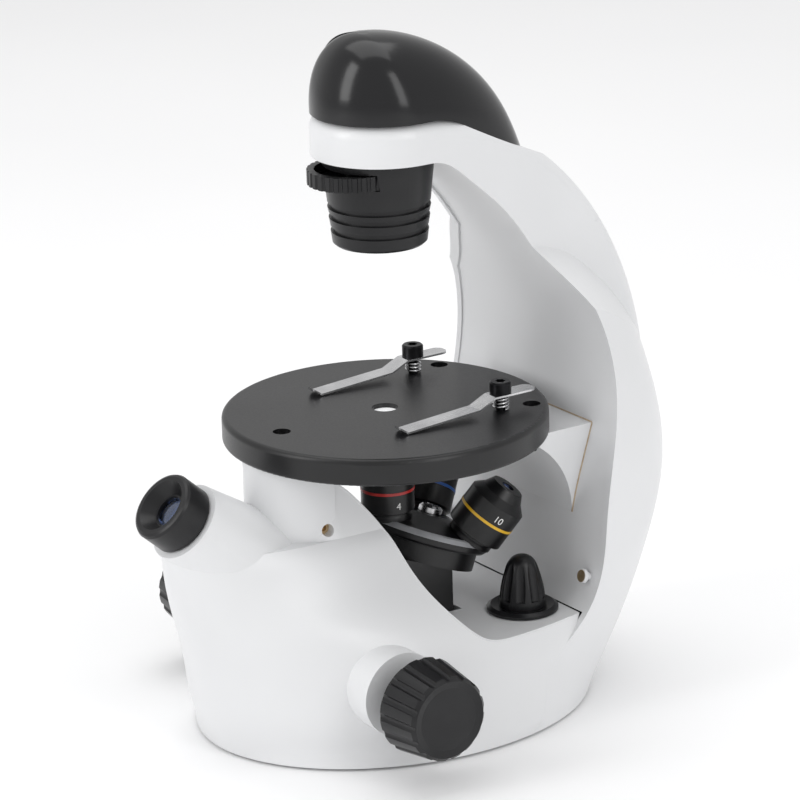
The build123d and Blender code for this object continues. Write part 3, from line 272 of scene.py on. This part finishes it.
def makePowerMark(words, step, radius, height):
    # painted number wrapped round the barrel, facing the front right
    letters = bpy.data.curves.new("mark" + words, "FONT")
    letters.body = words
    letters.size = powerMarks["size"]
    letters.align_x = "CENTER"
    letters.extrude = powerMarks["thick"]
    holder = bpy.data.objects.new("mark" + words, letters)
    bpy.context.scene.collection.objects.link(holder)
    bpy.context.view_layer.update()
    mesh = bpy.data.meshes.new_from_object(holder.evaluated_get(bpy.context.evaluated_depsgraph_get()))
    bpy.data.objects.remove(holder)
    seat = objectiveSeat(step)
    facing = seat.to_3x3().inverted() @ viewSide
    heading = atan2(facing.y, facing.x) + powerMarks["swing"]
    work = bmesh.new()
    work.from_mesh(mesh)
    for vert in work.verts:
        turn = heading + vert.co.x / radius
        out = radius + powerMarks["lift"] + vert.co.z
        vert.co = seat @ Vector((out * cos(turn), out * sin(turn), height + vert.co.y))
    work.to_mesh(mesh)
    work.free()
    addPiece("mark_" + words, mesh, "markPaint", "nosepiece")


for markWords, markStep, markRadius, markHeight in powerMarks["marks"]:
    makePowerMark(markWords, markStep, markRadius, markHeight)

turretEdge = {"profile": ((0.02765, -0.00275), (0.02600, -0.00108), (0.02450, -0.00058)), "thick": 0.0001,
              "segments": 120}


def makeTurretEdge():
    # bright turned rim of the turret, a hair above its chamfer and cone: its light grey is partly bare worn
    # metal and partly a painted highlight
    mesh = bpy.data.meshes.new("turret_edge")
    work = bmesh.new()
    corners = [work.verts.new((radius, 0.0, height)) for radius, height in turretEdge["profile"]]
    rims = [work.edges.new(pair) for pair in zip(corners, corners[1:])]
    bmesh.ops.spin(work, geom=corners + rims, cent=(0, 0, 0), axis=(0, 0, 1), angle=2.0 * pi,
                   steps=turretEdge["segments"], use_merge=True)
    bmesh.ops.recalc_face_normals(work, faces=work.faces[:])
    if sum(face.normal.z for face in work.faces) < 0.0:
        bmesh.ops.reverse_faces(work, faces=work.faces[:])
    bmesh.ops.solidify(work, geom=work.faces[:], thickness=turretEdge["thick"])
    stand = Vector((0, 0, 1)).rotation_difference(turretAxis).to_matrix().to_4x4()
    bmesh.ops.transform(work, matrix=Matrix.Translation(turretPlace) @ stand, verts=work.verts[:])
    bmesh.ops.recalc_face_normals(work, faces=work.faces[:])
    work.to_mesh(mesh)
    work.free()
    addPiece("turret_edge", mesh, "turnedEdgeSheen", "nosepiece")


makeTurretEdge()


def wireMesh(name, points, radius, rings):
    # round bead along a line of points
    wire = bpy.data.curves.new(name, "CURVE")
    wire.dimensions = "3D"
    wire.bevel_depth = radius
    wire.bevel_resolution = rings
    wire.use_fill_caps = True
    run = wire.splines.new("POLY")
    run.points.add(len(points) - 1)
    for spot, place in zip(run.points, points):
        spot.co = (*place, 1.0)
    holder = bpy.data.objects.new(name, wire)
    bpy.context.scene.collection.objects.link(holder)
    bpy.context.view_layer.update()
    mesh = bpy.data.meshes.new_from_object(holder.evaluated_get(bpy.context.evaluated_depsgraph_get()))
    bpy.data.objects.remove(holder)
    return mesh


def joinedCopy(node, reach):
    # a node's triangles joined at their corners, in a mesh of its own
    work = bmesh.new()
    work.from_mesh(nodes[node].data)
    bmesh.ops.remove_doubles(work, verts=work.verts[:], dist=reach)
    work.normal_update()
    return work


bracketBead = {"radius": 0.00045, "rings": 2, "join": 0.000001, "behind": 0.06,
               "squareOn": 0.9, "rearward": 0.7}


def makeBracketBead():
    # thin line of sealant where the corbel's sides and top meet the panel
    work = joinedCopy("stage_bracket", bracketBead["join"])
    sides = {"bead_right": Vector((1, 0, 0)), "bead_left": Vector((-1, 0, 0)), "bead_top": Vector((0, 0, 1))}
    for name, side in sides.items():
        line = set()
        for edge in work.edges:
            if len(edge.link_faces) != 2:
                continue
            sideways = max(face.normal.dot(side) for face in edge.link_faces)
            backwards = max(face.normal.y for face in edge.link_faces)
            meets = sideways > bracketBead["squareOn"] and backwards > bracketBead["rearward"]
            if meets and edge.verts[0].co.y > bracketBead["behind"]:
                line.update(edge.verts)
        along = 0 if name == "bead_top" else 2
        points = [vert.co.copy() for vert in sorted(line, key=lambda vert: vert.co[along])]
        print(name, "points:", len(points))
        mesh = wireMesh(name, points, bracketBead["radius"], bracketBead["rings"])
        addPiece(name, mesh, "sealBead", "stand")
    work.free()


makeBracketBead()

screwFace = {"radius": 0.0026, "lift": 0.00005, "thick": 0.0001, "segments": 32, "join": 0.000001,
             "forward": -0.7, "flat": 0.0001}


def makeScrewFaces():
    # bare plated face on the painted head of each panel screw
    work = joinedCopy("panel_screws", screwFace["join"])
    for side, name in ((1.0, "screw_face_right"), (-1.0, "screw_face_left")):
        near = [face for face in work.faces if face.verts[0].co.x * side > 0.0]
        front = [face for face in near if face.normal.y < screwFace["forward"]]
        facing = max(front, key=lambda face: face.calc_area()).normal.copy()
        spots = [vert.co for face in front for vert in face.verts]
        reach = max(spot.dot(facing) for spot in spots) - screwFace["flat"]
        rim = [spot for spot in spots if spot.dot(facing) > reach]
        middle = Vector([(min(values) + max(values)) / 2.0 for values in zip(*rim)])
        turn = Vector((0, 0, 1)).rotation_difference(facing).to_matrix().to_4x4()
        place = Matrix.Translation(middle + facing * screwFace["lift"]) @ turn
        mesh = bpy.data.meshes.new(name)
        disc = bmesh.new()
        bmesh.ops.create_cone(disc, cap_ends=True, radius1=screwFace["radius"], radius2=screwFace["radius"],
                              depth=screwFace["thick"], segments=screwFace["segments"], matrix=place)
        disc.to_mesh(mesh)
        disc.free()
        addPiece(name, mesh, "yellowZinc", "stand")
        print(name, "at", tuple(round(1000.0 * value, 1) for value in middle))
    work.free()


makeScrewFaces()

scoopRim = {"radius": 0.00035, "rings": 2, "join": 0.000002, "seed": (0.031, -0.0146, 0.0774),
            "front": -0.0385, "back": 0.055, "cutTilt": 0.12, "skinTilt": 0.4}


def scoopLine(work, side):
    # run of sharp edges between the scoop's cut and the outer skin on one side
    links = {}
    for edge in work.edges:
        if len(edge.link_faces) != 2:
            continue
        across = [face.normal.x * side for face in edge.link_faces]
        if abs(min(across)) < scoopRim["cutTilt"] and max(across) > scoopRim["skinTilt"]:
            for vert in edge.verts:
                links.setdefault(vert, []).append(edge.other_vert(vert))
    seed = Vector((scoopRim["seed"][0] * side, *scoopRim["seed"][1:]))
    run = [min(links, key=lambda vert: (vert.co - seed).length)]
    found = set(run)
    for vert in run:
        fresh = [other for other in links[vert] if other not in found]
        fresh = [other for other in fresh if scoopRim["front"] < other.co.y < scoopRim["back"]]
        found.update(fresh)
        run.extend(fresh)
    return [vert.co.copy() for vert in sorted(run, key=lambda vert: vert.co.y)]


def makeScoopRims():
    # fine rounded lip that catches the light along the scoop
    work = joinedCopy("base_housing", scoopRim["join"])
    for side, name in ((1.0, "rim_right"), (-1.0, "rim_left")):
        points = scoopLine(work, side)
        print(name, "points:", len(points))
        mesh = wireMesh(name, points, scoopRim["radius"], scoopRim["rings"])
        addPiece(name, mesh, "white_enamel", "stand")
    work.free()


makeScoopRims()
print("small pieces made")


# floor, light and camera

studio = {"floorHalf": 6.0, "floorLight": (0.94, 0.94, 0.945), "floorDark": (0.925, 0.925, 0.93),
          "floorDrift": 3.0, "floorRough": 0.9, "sky": 0.72, "aim": (0.0, 0.0, 0.15)}
bpy.context.scene.view_settings.view_transform = "Standard"  # plain product-photo tones


def makeFloor():
    mesh = bpy.data.meshes.new("floor")
    work = bmesh.new()
    bmesh.ops.create_grid(work, x_segments=1, y_segments=1, size=studio["floorHalf"])
    work.to_mesh(mesh)
    work.free()
    floor = bpy.data.objects.new("floor", mesh)
    bpy.context.scene.collection.objects.link(floor)
    finish, tree, shader, coords = newFinish("floorPaper")
    drift = addNoise(tree, coords, studio["floorDrift"], 2.0)
    colour = addRamp(tree, drift, studio["floorDark"], studio["floorLight"])
    tree.links.new(colour, shader.inputs["Base Color"])
    shader.inputs["Roughness"].default_value = studio["floorRough"]
    mesh.materials.append(finish)


panelLights = {
    "overhead": {"place": (-0.3, 0.1, 1.6), "width": 1.6, "height": 1.2, "power": 9.0},
    "userSide": {"place": (-0.2, -1.5, 0.9), "width": 0.5, "height": 1.4, "power": 8.0},
    "rightSide": {"place": (1.5, 0.2, 0.9), "width": 0.5, "height": 1.4, "power": 6.0},
}


def addPanelLight(name, spec):
    lamp = bpy.data.lights.new(name, "AREA")
    lamp.shape = "RECTANGLE"
    lamp.size = spec["width"]
    lamp.size_y = spec["height"]
    lamp.energy = spec["power"]
    holder = bpy.data.objects.new(name, lamp)
    holder.location = spec["place"]
    towards = Vector(studio["aim"]) - Vector(spec["place"])
    holder.rotation_euler = towards.to_track_quat("-Z", "Y").to_euler()
    bpy.context.scene.collection.objects.link(holder)


def makeSky():
    world = bpy.context.scene.world or bpy.data.worlds.new("studio")
    bpy.context.scene.world = world
    world.use_nodes = True
    back = next(node for node in world.node_tree.nodes if node.type == "BACKGROUND")
    back.inputs["Color"].default_value = (1.0, 1.0, 1.0, 1.0)
    back.inputs["Strength"].default_value = studio["sky"]


view = {"target": (0.0032, 0.00536, 0.13252), "azimuth": 56.589, "elevation": 18.15, "roll": -1.6,
        "distance": 1.7275, "lens": 188.79, "sensor": 36.0, "reach": 30.0}


def makeCamera():
    turn, rise, roll = radians(view["azimuth"]), radians(view["elevation"]), radians(view["roll"])
    back = Vector((sin(turn) * cos(rise), -cos(turn) * cos(rise), sin(rise)))
    level = Vector((cos(turn), sin(turn), 0.0))
    upright = back.cross(level)
    right = level * cos(roll) + upright * sin(roll)
    up = upright * cos(roll) - level * sin(roll)
    lens = bpy.data.cameras.new("photoView")
    lens.lens = view["lens"]
    lens.sensor_width = view["sensor"]
    lens.clip_end = view["reach"]
    camera = bpy.data.objects.new("photoView", lens)
    place = Vector(view["target"]) + back * view["distance"]
    axes = Matrix((right, up, back)).transposed().to_4x4()
    camera.matrix_world = Matrix.Translation(place) @ axes
    bpy.context.scene.collection.objects.link(camera)
    bpy.context.scene.camera = camera


makeFloor()
makeSky()
for lightName, lightSpec in panelLights.items():
    addPanelLight(lightName, lightSpec)
makeCamera()
print("studio ready")
